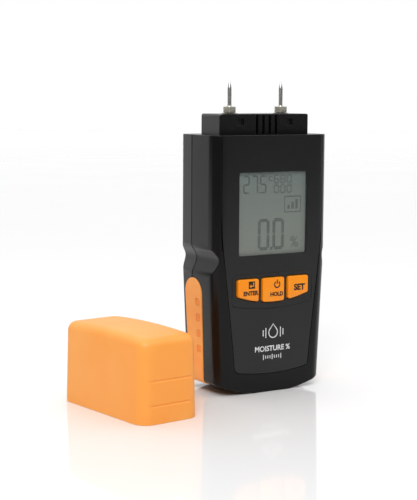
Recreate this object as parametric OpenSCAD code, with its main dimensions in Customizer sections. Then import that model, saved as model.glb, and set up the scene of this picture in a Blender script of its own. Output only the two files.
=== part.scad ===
// Pin-type moisture meter with three keys and a clip-on cap.
// X runs across the face, the face looks along -Y and Z is up, in millimetres.
// The origin is the middle of the small flat that the meter stands on.

/* [Body] */
// Width across the widest part of the case
body_w = 65; // [63:0.5:66]
// Depth from the face to the back
body_d = 31.8; // [31.6:0.2:33]
// Height of the shoulder above the base
body_h = 122.5; // [122:0.5:126]
// Radius of the two upright front edges
front_r = 6.5; // [5:0.5:7]
// Radius of the two upright rear edges
rear_r = 3.6; // [3:0.2:4.4]
// Thickness of the case wall
wall = 2.4; // [2.2:0.1:2.6]
// Distance from the middle of the depth back to the parting line
split_y = 4.95; // [4:0.05:6]
// Width of the flat that the meter stands on
base_flat_w = 20; // [16:1:24]

/* [Waist] */
// Height of the deepest point of the waist
waist_z = 64.6; // [63:0.2:66]
// Depth of the waist in each side
waist_depth = 3; // [1:0.1:4]

/* [Face] */
// Thickness of the face panel
panel_t = 1.4; // [1.2:0.1:1.6]
// Width of the display window
window_w = 38.3; // [36:0.1:39]
// Height of the display window
window_h = 39; // [37:0.5:40]
// How far the keys stand out of the face
key_proud = 1.2; // [1:0.1:1.6]
// How far a key can be pressed
key_travel = 0.8; // [0.5:0.1:0.8]

/* [Pin head] */
// Width of the pin head
head_w = 50.4; // [50:0.2:52]
// Depth of the pin head
head_d = 17.4; // [16:0.2:17.6]
// Height of the pin head above the shoulder
head_h = 9.7; // [9:0.1:10.5]
// Distance between the two needles
pin_gap = 29.3; // [28:0.1:30]
// Radius of a needle
pin_r = 1.05; // [0.9:0.05:1.1]
// Width across the flats of a clamp nut
nut_af = 5.8; // [5.6:0.1:6]

/* [Cap] */
// Height of the cap at its two ends
cap_end_h = 37.2; // [34:0.2:38]
// Extra height of the cap's arched middle
cap_crown = 1; // [0:0.2:4]
// Place of the cap across the face
cap_x = -74.7; // [-80:0.2:-70]
// Place of the cap in depth
cap_y = -11.4; // [-14:0.2:-6]
// How far the cap is turned about its upright axis, in degrees
cap_turn = 96.5; // [90:0.5:100]

/* [Hidden] */

$fn = 64;
far = 200;            // longer than any cut that has to pass right through
join = 0.2;           // how far a post or rib runs into the wall it stands on
straight_r = 40000;   // radius of an edge that is as good as straight

// Case outline
waist_up = 6.5;       // height over which the waist fades out above its middle
waist_down = 8.5;     // the same below it
taper_slope = 0.048;  // lean of each side below the waist
slab = 0.1;           // height of the thin plans that a hull is stretched over
plan_over = 0.03;     // the lower plan is this much wider, so that the outline alone sets the sides
base_r = 77;          // radius of the arched underside
corner_r = 2.2;       // radius between side and underside
corner_z = 7;         // height where that corner begins
face_y = -body_d / 2;
back_y = body_d / 2;
seam_gap = 0.15;      // line left open around the face panel
seam_w = 0.3;         // width of the groove along the parting line
seam_deep = 0.5;      // depth of that groove

// Face panel outline
panel_half_w = 28.45; // half width beside the display
panel_knee_z = 76.4;  // height where the panel starts to narrow
panel_knee = 10;      // half length of the curve there
panel_slope = 0.118;  // lean of the panel's lower edges
panel_base_z = 8.9;   // lowest point of the panel
panel_base_r = 110;   // radius of its lower edge
panel_corner_r = 3.5;

// Display, from the face inwards
window_z = 85.6;      // height of the window's middle
window_corner_r = 1;
lens_deep = 0.45;     // how far the lens sits below the face
lcd_y = face_y + panel_t + 0.1;
frame_y = face_y + wall + 0.2;
lcd_t = 2.2;
lcd_over = 1.3;       // overlap of the display beyond the window
frame_over = 3.2;     // the same for the frame around it
frame_gap = 0.1;
guide_t = 2.4;
chip_w = 10;
chip_t = 1.6;
chip_z = 80;
board_y = -7;         // front face of the circuit board
board_t = 1.6;
board_w = 49.6;
board_low_z = 18;
board_top_z = 116;

// Keys: left and right edge of each, on one arc along their lower edges
key_edges = [[-20, -8.4], [-6.1, 6.1], [8.4, 20]];
key_top_z = 55.1;
key_low_z = 43.6;
key_arc_r = 58;
key_mid_z = 49.8;
key_corner_r = 1;
zone_half_w = 22.8;
zone_top_z = 57.4;
zone_low_z = 40.4;
zone_arc_r = 120;
zone_corner_r = 2.5;
zone_deep = 0.2;
key_play = 0.35;      // gap around each key
key_flange = 0.9;     // thickness of the flange behind the wall
key_lip = 0.45;       // how far the flange reaches behind the wall
key_back_y = face_y + wall + 0.3 + key_flange;
switch_w = 6;
switch_t = 3.4;
plunger_r = 1.75;
plunger_y = key_back_y + key_travel + 0.3;

// Grips
grip_y = 4.2;         // middle of the grip in depth
grip_half_w = 7.35;   // half width, also the radius of its arched top
grip_top_z = 54.8;
grip_low_z = 2;
grip_taper = 1.2;     // how much each edge leans in towards the bottom
grip_t = 1.6;         // depth of the pocket
grip_proud = 0.4;
grip_gap = 0.1;
grip_in_x = 26;       // the grips stay outside this distance from the middle

// Pin head
head_y = 0.6;
head_top = body_h + head_h;
head_gap = 0.1;
flange_over = 1.8;    // overlap of the head's flange under the case
flange_t = 2.4;
flange_low_z = body_h - wall - head_gap - flange_t;
slot_w = 1.4;
slot_gap = 3.6;
slot_shift = 0.8;
slot_deep = 4.2;
head_corner_r = 1.5;
recess_x = 13.8;
recess_w = 3.8;
recess_h = 3.3;
recess_deep = 1.2;
chamber_w = 15;
chamber_d = 9;
chamber_y = -4;
recess_z = head_top - 2.1 - recess_h / 2;
boss_r = 3.8;
boss_h = 0.25;

// Needle, clamp nut and socket, which share one axis
socket_r = 2.5;
socket_low_z = head_top - 18.2;
stub_r = 2;           // threaded stub inside the nut
thread_run = 2;       // length of engaged thread
nut_low_z = head_top + boss_h + 0.15;
nut_h = 3;
stub_top_z = nut_low_z + thread_run;
collar_r = 1.9;
collar_h = 0.4;
fit_gap = 0.05;       // clearance of each running fit
strap_w = 3;
strap_t = 0.5;
strap_l = 5.5;        // length of the leg on the board
bead_r = 1.3;         // temperature sensor's bead
bead_y = head_y - 2.6;
bead_z = head_top - 6;
lead_r = 0.25;
lead_gap = 0.7;       // from the middle to each lead
lead_z = board_top_z - 4;
shank_r = pin_r + 0.45;
shank_top_z = nut_low_z + nut_h + 0.3;
needle_h = 8;
tip_h = 4;
tip_r = 0.08;
shank_low_z = head_top - 7.2;

// Battery compartment
cell_r = 5.25;
cell_l = 43.5;
button_r = 1.9;
button_l = 1;
cell_gap = 10.9;
cell_y = 6.7;
bay_half_w = 17;
bay_low_z = 9.7;
bay_top_z = 58.3;
bay_floor_y = 1.2;
bay_wall = 2;
plate_t = 0.4;
spring_coils = 5;
spring_wire_r = 0.36;
spring_r = 3;
cover_t = 2;
cover_half_w = 18.35;
cover_gap = 0.3;
hinge_y = back_y - cover_t / 2;
hinge_z = 8.9;
hinge_pin_r = 0.6;
hinge_pin_l = 0.6;
hinge_hole_l = 0.45;  // depth of each pin's hole beyond the gap
cover_top_z = 60;
notch_r = 5;          // finger notch above the cover
notch_deep = 1.2;

// Screws
case_screw_at = [[24.5, 112], [22, 12]];
board_screw_at = [[23, 58.5], [22, 24]];
post_r = 3;
rear_post_r = 3.8;
screw_seat_y = 9.5;
screw_r = 1.25;
screw_tip_y = -3;
screw_head_r = 2.4;
screw_head_h = 1.8;
cross_l = 2.6;        // cross recess of a screw's head
cross_w = 0.6;
cross_deep = 1;
board_post_r = 2.2;
board_screw_r = 0.9;
board_screw_head_r = 1.7;
board_screw_head_h = 1.2;
board_screw_l = 4.5;

// Cap
cap_corner_r = 6.5;
cap_draft = 0.8;      // how much each side leans in over the cap's height
cap_wall = 1.8;
cap_top_r = 4;
rib_w = 1.6;
rib_h = 14;
rib_gap = 0.3;        // play between the ribs and the pin head
rib_low_z = 2;        // the ribs start this far above the mouth
end_rib_y = 5;        // from the head's middle to each rib at its ends
rib_sink = 1.3;       // the ribs end inside the wall, this far from its outside
nub_r = 0.8;

// ---- Outlines ----

function ease(t) = t <= 0 ? 0 : t >= 1 ? 1 : t * t * (3 - 2 * t);

function waist(z) =
    waist_depth * (1 - ease(z > waist_z ? (z - waist_z) / waist_up : (waist_z - z) / waist_down));

function taper(z) = taper_slope * max(0, waist_z - z);

function half_width(z) = body_w / 2 - waist(z) - taper(z);

function base_z(x) = max(0, (x * x - pow(base_flat_w / 2, 2)) / (2 * base_r));

// Right half of the front outline, from the base flat up to the given top
function right_edge(inset, top) =
    let (r = max(0.3, corner_r - inset),
         xc = half_width(corner_z) - inset - r,
         slope = atan(xc / base_r),
         zc = base_z(xc) + inset + r / cos(slope))
    concat(
        [for (i = [0:6]) let (x = base_flat_w / 2 + (xc - base_flat_w / 2) * i / 7) [x, base_z(x) + inset]],
        [for (i = [0:5]) let (a = (slope - 90) * (1 - i / 5)) [xc + r * cos(a), zc + r * sin(a)]],
        [for (i = [1:5]) let (z = zc + (waist_z - waist_down - zc) * i / 5) [half_width(z) - inset, z]],
        [for (i = [1:8]) let (z = waist_z - waist_down * (1 - i / 8)) [half_width(z) - inset, z]],
        [for (i = [1:7]) let (z = waist_z + waist_up * i / 7) [half_width(z) - inset, z]],
        [[body_w / 2 - inset, top]]
    );

function mirrored(points) = [for (i = [len(points) - 1:-1:0]) [-points[i][0], points[i][1]]];

// Section of the case at one height, of the given half width
module plan_outline(inset, half_w) {
    front_x = half_w - front_r;
    rear_x = half_w - rear_r;
    front_edge = body_d / 2 - front_r;
    rear_edge = body_d / 2 - rear_r;
    for (side = [-1, 1]) {
        translate([side * front_x, -front_edge]) circle(front_r - inset);
        translate([side * rear_x, rear_edge]) circle(rear_r - inset);
    }
    translate([inset - half_w, -front_edge]) square([2 * (half_w - inset), front_edge + rear_edge]);
    translate([-front_x, inset - body_d / 2]) square([2 * front_x, front_r]);
    translate([-rear_x, body_d / 2 - inset - rear_r]) square([2 * rear_x, rear_r]);
}

// Solid of the case, every wall moved inwards by inset, cut off at the given top.
// Its rounded corners follow the sides, which lean inwards below the waist.
module body_core(inset, top) {
    edge = right_edge(inset, top);
    intersection() {
        rotate([90, 0, 0]) linear_extrude(2 * body_d, center = true) polygon(concat(edge, mirrored(edge)));
        hull() {
            translate([0, 0, waist_z]) linear_extrude(top - waist_z) plan_outline(inset, body_w / 2);
            linear_extrude(slab) plan_outline(inset, body_w / 2 - taper(0) + plan_over);
        }
    }
}

// Everything in front of, or behind, an upright plane
module in_front_of(y) {
    translate([-far / 2, y - far, -far / 2]) cube([far, far, 2 * far]);
}

module behind(y) {
    translate([-far / 2, y, -far / 2]) cube([far, far, 2 * far]);
}

// A prism along Y whose outline is drawn in X and Z
module through_face(low_y, high_y) {
    translate([0, high_y, 0]) rotate([90, 0, 0]) linear_extrude(high_y - low_y) children();
}

// A cylinder along Y
module rod_y(x, z, r, low_y, high_y) {
    translate([x, high_y, z]) rotate([90, 0, 0]) cylinder(h = high_y - low_y, r = r);
}

module round_box(w, d, h, r) {
    linear_extrude(h) {
        square([w - 2 * r, d], center = true);
        square([w, d - 2 * r], center = true);
        for (x = [-1, 1], y = [-1, 1]) translate([x * (w / 2 - r), y * (d / 2 - r)]) circle(r);
    }
}

// ---- Face openings ----

function panel_edge(z) =
    let (d = panel_knee_z + panel_knee - z, blend = 2 * panel_knee)
    panel_half_w - panel_slope * (d <= 0 ? 0 : d < blend ? d * d / (2 * blend) : d - panel_knee);

function panel_base(x) = panel_base_z + x * x / (2 * panel_base_r);

module panel_outline(grow) {
    r = panel_corner_r + grow;
    xc = panel_edge(panel_base_z + 2 * panel_corner_r) - panel_corner_r;
    zc = panel_base(xc) + panel_corner_r;
    edge = concat(
        [for (i = [0:4]) let (x = xc * i / 4) [x, panel_base(x) - grow]],
        [for (i = [1:6]) let (a = -90 + 90 * i / 6) [xc + r * cos(a), zc + r * sin(a)]],
        [for (i = [1:10]) let (z = zc + (panel_knee_z + panel_knee - zc) * i / 10) [panel_edge(z) + grow, z]],
        [[panel_half_w + grow, body_h + 1]]
    );
    polygon(concat(edge, mirrored(edge)));
}

// Points along an arc about a centre, between two angles
function arc(x, z, r, from, to) =
    [for (i = [0:6]) let (a = from + (to - from) * i / 6) [x + r * cos(a), z + r * sin(a)]];

// A form with rounded corners and a straight top, whose lower edge is an arc that sags by x * x / (2 * low_r)
module smile_outline(left, right, top, low, low_r, corner) {
    function low_z(x) = low + x * x / (2 * low_r);
    polygon(concat(
        arc(right - corner, top - corner, corner, 0, 90),
        arc(left + corner, top - corner, corner, 90, 180),
        arc(left + corner, low_z(left + corner) + corner, corner, 180, 270),
        [for (i = [1:5]) let (x = left + corner + (right - left - 2 * corner) * i / 6) [x, low_z(x)]],
        arc(right - corner, low_z(right - corner) + corner, corner, 270, 360)
    ));
}

module window_outline(grow) {
    smile_outline(-window_w / 2 - grow, window_w / 2 + grow, window_z + window_h / 2 + grow,
                  window_z - window_h / 2 - grow, straight_r, max(0.3, window_corner_r + grow));
}

module key_outline(i, grow) {
    smile_outline(key_edges[i][0] - grow, key_edges[i][1] + grow, key_top_z + grow,
                  key_low_z - grow, key_arc_r, key_corner_r + grow);
}

// Shallow dished area around the keys
module key_zone() {
    through_face(face_y - 1, face_y + zone_deep)
        smile_outline(-zone_half_w, zone_half_w, zone_top_z, zone_low_z, zone_arc_r, zone_corner_r);
}

module all_keys(grow) {
    for (i = [0:2]) key_outline(i, grow);
}

module panel_pocket() {
    difference() {
        through_face(face_y - 1, 0) panel_outline(0);
        body_core(panel_t, body_h + 2);
    }
}

module grip_outline(grow) {
    arch_z = grip_top_z - grip_half_w;
    w = grip_half_w + grow;
    polygon(concat(
        [for (i = [0:18]) let (a = 180 * i / 18) [grip_y + w * cos(a), arch_z + w * sin(a)]],
        [[grip_y - w + grip_taper, grip_low_z], [grip_y + w - grip_taper, grip_low_z]]
    ));
}

// A prism along X on one side, its outline drawn in Y and Z
module from_side(side) {
    rotate([90, 0, 90]) translate([0, 0, side > 0 ? grip_in_x : -grip_in_x - body_w])
        linear_extrude(body_w) children();
}

module grip_pocket(side) {
    difference() {
        from_side(side) grip_outline(grip_gap);
        body_core(grip_t, body_h);
    }
}

module head_opening() {
    translate([0, head_y, body_h - wall - 1])
        round_box(head_w + 2 * head_gap, head_d + 2 * head_gap, wall + 2, 1 + head_gap);
}

// ---- Case ----

module front_case() color("#2e2f2f") {
    difference() {
        union() {
            difference() {
                intersection() {
                    body_core(0, body_h);
                    in_front_of(split_y);
                }
                body_core(wall, body_h - wall);
                panel_pocket();
                for (side = [-1, 1]) grip_pocket(side);
            }
            for (side = [-1, 1]) {
                for (at = case_screw_at) rod_y(side * at[0], at[1], post_r, face_y + wall - join, split_y);
                for (at = board_screw_at)
                    rod_y(side * at[0], at[1], board_post_r, face_y + wall - join, board_y);
            }
        }
        head_opening();
        lcd_block(lcd_over + frame_gap, face_y - 1, 1 - face_y);
        through_face(face_y - 1, 0) all_keys(key_play);
        for (side = [-1, 1]) {
            for (at = case_screw_at) rod_y(side * at[0], at[1], screw_r, screw_tip_y, split_y + 1);
            for (at = board_screw_at)
                rod_y(side * at[0], at[1], board_screw_r, board_y - board_screw_l, board_y + 1);
        }
    }
}

module face_panel() color("#2b2c2c") {
    difference() {
        intersection() {
            body_core(0, body_h);
            through_face(face_y - 1, 0) panel_outline(-seam_gap);
        }
        body_core(panel_t, body_h + 2);
        key_zone();
        through_face(face_y - 1, 0) window_outline(0);
        through_face(face_y - 1, 0) all_keys(key_play);
    }
}

module rear_case() color("#47464a") {
    difference() {
        union() {
            difference() {
                union() {
                    intersection() {
                        body_core(0, body_h);
                        behind(split_y + seam_w);
                    }
                    intersection() {
                        body_core(seam_deep, body_h - seam_deep);
                        behind(split_y);
                        in_front_of(split_y + 2 * seam_w);
                    }
                }
                body_core(wall, body_h - wall);
                for (side = [-1, 1]) grip_pocket(side);
            }
            // Battery bay
            translate([-bay_half_w - bay_wall, bay_floor_y - bay_wall / 2, bay_low_z - bay_wall])
                cube([2 * (bay_half_w + bay_wall), back_y - wall - bay_floor_y + 1.2,
                      bay_top_z - bay_low_z + 2 * bay_wall]);
            for (side = [-1, 1], at = case_screw_at)
                rod_y(side * at[0], at[1], rear_post_r, split_y, back_y - wall + join);
        }
        head_opening();
        translate([-bay_half_w, bay_floor_y, bay_low_z])
            cube([2 * bay_half_w, far, bay_top_z - bay_low_z]);
        // Seat and finger notch of the battery cover
        translate([-cover_half_w - cover_gap, back_y - cover_t - cover_gap,
                   hinge_z - cover_t / 2 - cover_gap])
            cube([2 * (cover_half_w + cover_gap), far, cover_top_z - hinge_z + cover_t / 2 + 2 * cover_gap]);
        rod_y(0, cover_top_z, notch_r, back_y - notch_deep, back_y + 1);
        translate([-cover_half_w - cover_gap - hinge_hole_l, hinge_y, hinge_z]) rotate([0, 90, 0])
            cylinder(h = 2 * (cover_half_w + cover_gap + hinge_hole_l), r = hinge_pin_r + fit_gap);
        for (side = [-1, 1], at = case_screw_at) {
            rod_y(side * at[0], at[1], screw_head_r + 0.4, screw_seat_y, back_y + 1);
            rod_y(side * at[0], at[1], screw_r + 0.1, split_y - 1, back_y + 1);
        }
    }
}

module battery_cover() color("#47464a") {
    translate([-cover_half_w, back_y - cover_t, hinge_z])
        cube([2 * cover_half_w, cover_t, cover_top_z - hinge_z]);
    translate([-cover_half_w, hinge_y, hinge_z]) rotate([0, 90, 0])
        cylinder(h = 2 * cover_half_w, r = cover_t / 2);
    translate([-cover_half_w - hinge_pin_l, hinge_y, hinge_z]) rotate([0, 90, 0])
        cylinder(h = 2 * (cover_half_w + hinge_pin_l), r = hinge_pin_r);
}

module grip(side) color("#ff9a3c") {
    difference() {
        intersection() {
            from_side(side) grip_outline(0);
            body_core(-grip_proud, body_h);
        }
        body_core(grip_t, body_h);
    }
}

module case_screws() color("silver") {
    for (side = [-1, 1], at = case_screw_at) {
        rod_y(side * at[0], at[1], screw_r, screw_tip_y, screw_seat_y);
        difference() {
            rod_y(side * at[0], at[1], screw_head_r, screw_seat_y, screw_seat_y + screw_head_h);
            for (a = [0, 90])
                translate([side * at[0], screw_seat_y + screw_head_h, at[1]]) rotate([0, a, 0])
                    cube([cross_l, 2 * cross_deep, cross_w], center = true);
        }
    }
}

// ---- Display and electronics ----

module display_lens() color([0.8, 0.85, 0.8, 0.4]) {
    through_face(face_y + lens_deep, face_y + panel_t) window_outline(-0.02);
}

module lcd_block(grow, low_y, t) {
    through_face(low_y, low_y + t)
        translate([-window_w / 2 - grow, window_z - window_h / 2 - grow])
            square([window_w + 2 * grow, window_h + 2 * grow]);
}

module lcd_glass() color("#7c8179") {
    lcd_block(lcd_over, lcd_y, lcd_t);
}

module light_guide() color("ivory") {
    guide_low_z = window_z - window_h / 2 + 3;
    translate([-window_w / 2 - lcd_over, lcd_y + lcd_t, guide_low_z])
        cube([window_w + 2 * lcd_over, guide_t, window_z + window_h / 2 + lcd_over - guide_low_z]);
}

module lcd_connector() color("hotpink") {
    translate([-window_w / 2, lcd_y + lcd_t, window_z - window_h / 2 - 1])
        cube([window_w, board_y - lcd_y - lcd_t, 2.4]);
}

module lcd_frame() color("white") {
    difference() {
        lcd_block(frame_over, frame_y, board_y - frame_y);
        lcd_block(lcd_over + frame_gap, frame_y - 1, board_y - frame_y + 2);
    }
}

module circuit_board() color("darkgreen") {
    difference() {
        translate([-board_w / 2, board_y, board_low_z]) cube([board_w, board_t, board_top_z - board_low_z]);
        for (side = [-1, 1]) {
            at = case_screw_at[0];
            translate([side * at[0], board_y - 1, at[1]]) translate([-post_r - 0.6, 0, -post_r - 0.6])
                cube([2 * post_r + 1.2, board_t + 2, far]);
            for (screw = board_screw_at)
                rod_y(side * screw[0], screw[1], board_screw_r + 0.1, board_y - 1, board_y + board_t + 1);
        }
    }
}

module controller_chip() color("#202020") {
    translate([-chip_w / 2, board_y + board_t, chip_z]) cube([chip_w, chip_t, chip_w]);
}

module key_switch(i) color("#303030") {
    mid_x = (key_edges[i - 1][0] + key_edges[i - 1][1]) / 2;
    translate([mid_x - switch_w / 2, board_y - switch_t, key_mid_z - switch_w / 2])
        cube([switch_w, switch_t, switch_w]);
    rod_y(mid_x, key_mid_z, plunger_r, plunger_y, board_y - switch_t);
}

module board_screws() color("silver") {
    for (side = [-1, 1], at = board_screw_at) {
        rod_y(side * at[0], at[1], board_screw_r, board_y - board_screw_l, board_y + board_t);
        rod_y(side * at[0], at[1], board_screw_head_r, board_y + board_t,
              board_y + board_t + board_screw_head_h);
    }
}

module key_cap(i) color("#ff9420") {
    through_face(face_y - key_proud, key_back_y) key_outline(i, 0);
    through_face(key_back_y - key_flange, key_back_y) key_outline(i, key_play + key_lip);
}

// ---- Pin head ----

module pin_head() color("#2a2a2b") {
    full_h = head_top - flange_low_z;
    difference() {
        union() {
            intersection() {
                translate([0, head_y, flange_low_z]) round_box(head_w, head_d, full_h, 1);
                // Rounded upper corners
                through_face(-far / 2, far / 2) union() {
                    translate([-head_w / 2, flange_low_z]) square([head_w, full_h - head_corner_r]);
                    translate([head_corner_r - head_w / 2, flange_low_z])
                        square([head_w - 2 * head_corner_r, full_h]);
                    for (side = [-1, 1])
                        translate([side * (head_w / 2 - head_corner_r), head_top - head_corner_r])
                            circle(head_corner_r);
                }
            }
            translate([0, head_y, flange_low_z])
                round_box(head_w + 2 * flange_over, head_d + 2 * flange_over, flange_t, 1);
            for (side = [-1, 1])
                translate([side * pin_gap / 2, head_y, head_top - 1]) cylinder(h = 1 + boss_h, r = boss_r);
        }
        for (side = [-1, 1])
            translate([side * pin_gap / 2, head_y, flange_low_z - 1]) cylinder(h = full_h + 3, r = socket_r);
        // Chamber behind the sensor slots
        translate([slot_shift - chamber_w / 2, chamber_y, flange_low_z - 1])
            cube([chamber_w, chamber_d, full_h - 2.2]);
        for (i = [0:3])
            translate([slot_shift + (i - 1.5) * slot_gap - slot_w / 2, head_y - head_d / 2 - 1, body_h])
                cube([slot_w, slot_deep + 1, head_h + 1]);
        for (side = [-1, 1])
            translate([side * recess_x - recess_w / 2, head_y - head_d / 2 - 1, recess_z - recess_h / 2])
                cube([recess_w, recess_deep + 1, recess_h]);
    }
}

module socket(side) color("gold") {
    translate([side * pin_gap / 2, head_y, 0]) difference() {
        union() {
            translate([0, 0, socket_low_z]) cylinder(h = head_top + boss_h - socket_low_z, r = socket_r);
            translate([0, 0, socket_low_z]) cylinder(h = stub_top_z - socket_low_z, r = stub_r);
        }
        translate([0, 0, shank_low_z - 0.2]) cylinder(h = 20, r = shank_r + fit_gap);
    }
}

// Brass strap from the foot of a socket to the back of the circuit board
module strap(side) color("gold") {
    back = board_y + board_t;
    translate([(side * pin_gap - strap_w) / 2, back, socket_low_z - strap_t])
        cube([strap_w, head_y + strap_w / 2 - back, strap_t]);
    translate([(side * pin_gap - strap_w) / 2, back, socket_low_z - strap_l])
        cube([strap_w, strap_t, strap_l - strap_t / 2]);
}

module temperature_sensor() color("#3a3f55") {
    translate([slot_shift, bead_y, bead_z]) sphere(bead_r);
    for (side = [-1, 1]) {
        translate([slot_shift + side * lead_gap, bead_y, lead_z]) cylinder(h = bead_z - lead_z, r = lead_r);
        rod_y(slot_shift + side * lead_gap, lead_z, lead_r, board_y + board_t, bead_y);
    }
}

module needle(side) color("#8d8d8a") {
    translate([side * pin_gap / 2, head_y, 0]) {
        translate([0, 0, shank_low_z]) cylinder(h = shank_top_z - shank_low_z, r = shank_r);
        translate([0, 0, stub_top_z + fit_gap]) cylinder(h = collar_h, r = collar_r);
        translate([0, 0, shank_top_z]) cylinder(h = needle_h, r = pin_r);
        translate([0, 0, shank_top_z + needle_h]) cylinder(h = tip_h, r1 = pin_r, r2 = tip_r);
    }
}

module clamp_nut(side) color("#a7a58f") {
    chamber_top_z = stub_top_z + 2 * fit_gap + collar_h;
    translate([side * pin_gap / 2, head_y, 0]) difference() {
        translate([0, 0, nut_low_z]) cylinder(h = nut_h, r = nut_af / sqrt(3), $fn = 6);
        translate([0, 0, nut_low_z - 1]) cylinder(h = chamber_top_z - nut_low_z + 1, r = stub_r + fit_gap);
        translate([0, 0, nut_low_z]) cylinder(h = nut_h + 1, r = shank_r + fit_gap);
    }
}

// ---- Power ----

function cell_x(i) = (i - 2) * cell_gap;

// The outer cells stand button up, the middle one button down
module in_bay(i) {
    flip = i == 2;
    translate([cell_x(i), cell_y, flip ? bay_top_z : bay_low_z]) mirror([0, 0, flip ? 1 : 0]) children();
}

module battery(i) color("#b8b8bc") {
    low = bay_top_z - bay_low_z - plate_t - cell_l - button_l;
    in_bay(i) {
        translate([0, 0, low]) cylinder(h = cell_l, r = cell_r);
        translate([0, 0, low + cell_l]) cylinder(h = button_l, r = button_r);
    }
}

// Coil spring, pressed almost solid by its cell: rings that just meet
module battery_spring(i) color("silver") {
    pressed_h = bay_top_z - bay_low_z - 2 * plate_t - cell_l - button_l;
    seated = 0.05;      // how far the lowest coil is sunk into its plate
    pitch = (pressed_h + seated - 2 * spring_wire_r) / (spring_coils - 1);
    in_bay(i) {
        translate([-4, -4, 0]) cube([8, 8, plate_t]);
        for (coil = [0:spring_coils - 1])
            translate([0, 0, plate_t - seated + spring_wire_r + coil * pitch]) rotate_extrude()
                translate([spring_r, 0]) circle(spring_wire_r, $fn = 24);
    }
}

module battery_plate(i) color("silver") {
    in_bay(i) translate([-4, -4, bay_top_z - bay_low_z - plate_t]) cube([8, 8, plate_t]);
}

// ---- Cap, drawn on its own mouth and then stood beside the meter ----

function cap_top(x) = cap_end_h + cap_crown * (1 - pow(x / (body_w / 2), 2));

module cap_solid(inset, base) {
    r = cap_corner_r - inset;
    top_r = cap_top_r - inset;
    span_x = body_w / 2 - cap_draft - cap_top_r;
    span_y = body_d / 2 - cap_draft - cap_top_r;
    hull() {
        for (x = [-1, 1], y = [-1, 1])
            translate([x * (body_w / 2 - cap_corner_r), y * (body_d / 2 - cap_corner_r), base])
                cylinder(h = 0.5, r = r, $fn = 32);
        for (i = [-1:0.25:1], y = [-1, 1])
            translate([i * span_x, y * span_y, cap_top(i * body_w / 2) - cap_top_r])
                sphere(top_r, $fn = 24);
    }
}

module cap_ribs() {
    front_face = head_y - head_d / 2 - rib_gap;
    rear_face = head_y + head_d / 2 + rib_gap;
    end_face = head_w / 2 + rib_gap;
    outer_y = body_d / 2 - rib_sink;
    outer_x = body_w / 2 - rib_sink;
    for (side = [-1, 1]) {
        for (span = [[-outer_y, front_face], [rear_face, outer_y]])
            translate([side * recess_x - rib_w / 2, span[0], rib_low_z])
                cube([rib_w, span[1] - span[0], rib_h - rib_low_z]);
        for (y = [-end_rib_y, end_rib_y])
            translate([side > 0 ? end_face : -outer_x, y + head_y - rib_w / 2, rib_low_z])
                cube([outer_x - end_face, rib_w, rib_h - rib_low_z]);
        // Nub that clicks into a recess of the pin head
        translate([side * recess_x - rib_w / 2, front_face, recess_z - body_h]) rotate([0, 90, 0])
            cylinder(h = rib_w, r = nub_r);
    }
}

module cap() color("#ffa54f") {
    translate([cap_x, cap_y, 0]) rotate([0, 0, cap_turn]) {
        difference() {
            cap_solid(0, 0);
            cap_solid(cap_wall, -1);
        }
        cap_ribs();
    }
}

// ---- Nodes ----

front_case();
rear_case();
face_panel();
display_lens();
lcd_glass();
lcd_frame();
light_guide();
lcd_connector();
circuit_board();
controller_chip();
key_cap(0);  // key_enter
key_cap(1);  // key_power
key_cap(2);  // key_set
grip(-1);  // left_grip
grip(1);  // right_grip
pin_head();
socket(-1);  // left_socket
socket(1);  // right_socket
strap(-1);  // left_strap
strap(1);  // right_strap
temperature_sensor();
needle(-1);  // left_pin
needle(1);  // right_pin
clamp_nut(-1);  // left_nut
clamp_nut(1);  // right_nut
battery_cover();
case_screws();
board_screws();
cap();
for (i = [1:3]) {
    key_switch(i);
    battery(i);
    battery_spring(i);
    battery_plate(i);
}
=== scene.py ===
from math import atan, cos, pi, radians, sin, sqrt

import bmesh
import bpy
from mathutils import Matrix, Vector


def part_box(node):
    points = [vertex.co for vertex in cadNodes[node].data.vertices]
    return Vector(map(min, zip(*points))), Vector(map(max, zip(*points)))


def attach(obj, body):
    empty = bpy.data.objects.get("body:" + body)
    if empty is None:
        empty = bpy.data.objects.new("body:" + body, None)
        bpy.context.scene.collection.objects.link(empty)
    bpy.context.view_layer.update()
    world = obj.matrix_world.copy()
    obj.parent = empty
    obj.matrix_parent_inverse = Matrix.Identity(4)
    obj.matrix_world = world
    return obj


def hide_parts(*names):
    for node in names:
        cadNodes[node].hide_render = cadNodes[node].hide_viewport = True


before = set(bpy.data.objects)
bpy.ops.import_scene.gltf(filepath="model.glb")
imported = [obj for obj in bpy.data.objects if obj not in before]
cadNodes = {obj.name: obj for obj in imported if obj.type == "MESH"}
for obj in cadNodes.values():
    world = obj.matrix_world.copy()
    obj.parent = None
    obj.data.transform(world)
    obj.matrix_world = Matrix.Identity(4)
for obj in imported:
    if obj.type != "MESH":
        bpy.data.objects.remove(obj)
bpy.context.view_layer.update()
mm = 0.001
print("frame loaded:", len(cadNodes), "nodes")


# ---------- camera and lights

view = {
    "place": (-0.3533, -0.5314, 0.1433),
    "yaw": 31.62,      # degrees to the right of +Y
    "pitch": 6.88,     # degrees below the horizon
    "roll": 0.36,
    "lens": 95.57,
}

cameraData = bpy.data.cameras.new("camera")
cameraData.lens = view["lens"]
cameraData.clip_end = 10
camera = bpy.data.objects.new("camera", cameraData)
camera.matrix_world = (
    Matrix.Translation(view["place"])
    @ Matrix.Rotation(radians(-view["yaw"]), 4, "Z")
    @ Matrix.Rotation(radians(90 - view["pitch"]), 4, "X")
    @ Matrix.Rotation(radians(view["roll"]), 4, "Z")
)
bpy.context.scene.collection.objects.link(camera)
bpy.context.scene.camera = camera
bpy.context.scene.view_settings.view_transform = "Standard"

# softbox up on the left, in front of the object: its power in watts and its side in metres
keyLight = {"place": (-0.62, -0.78, 0.85), "target": (-0.02, 0, 0.06), "size": 0.45, "power": 7.2}


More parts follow.
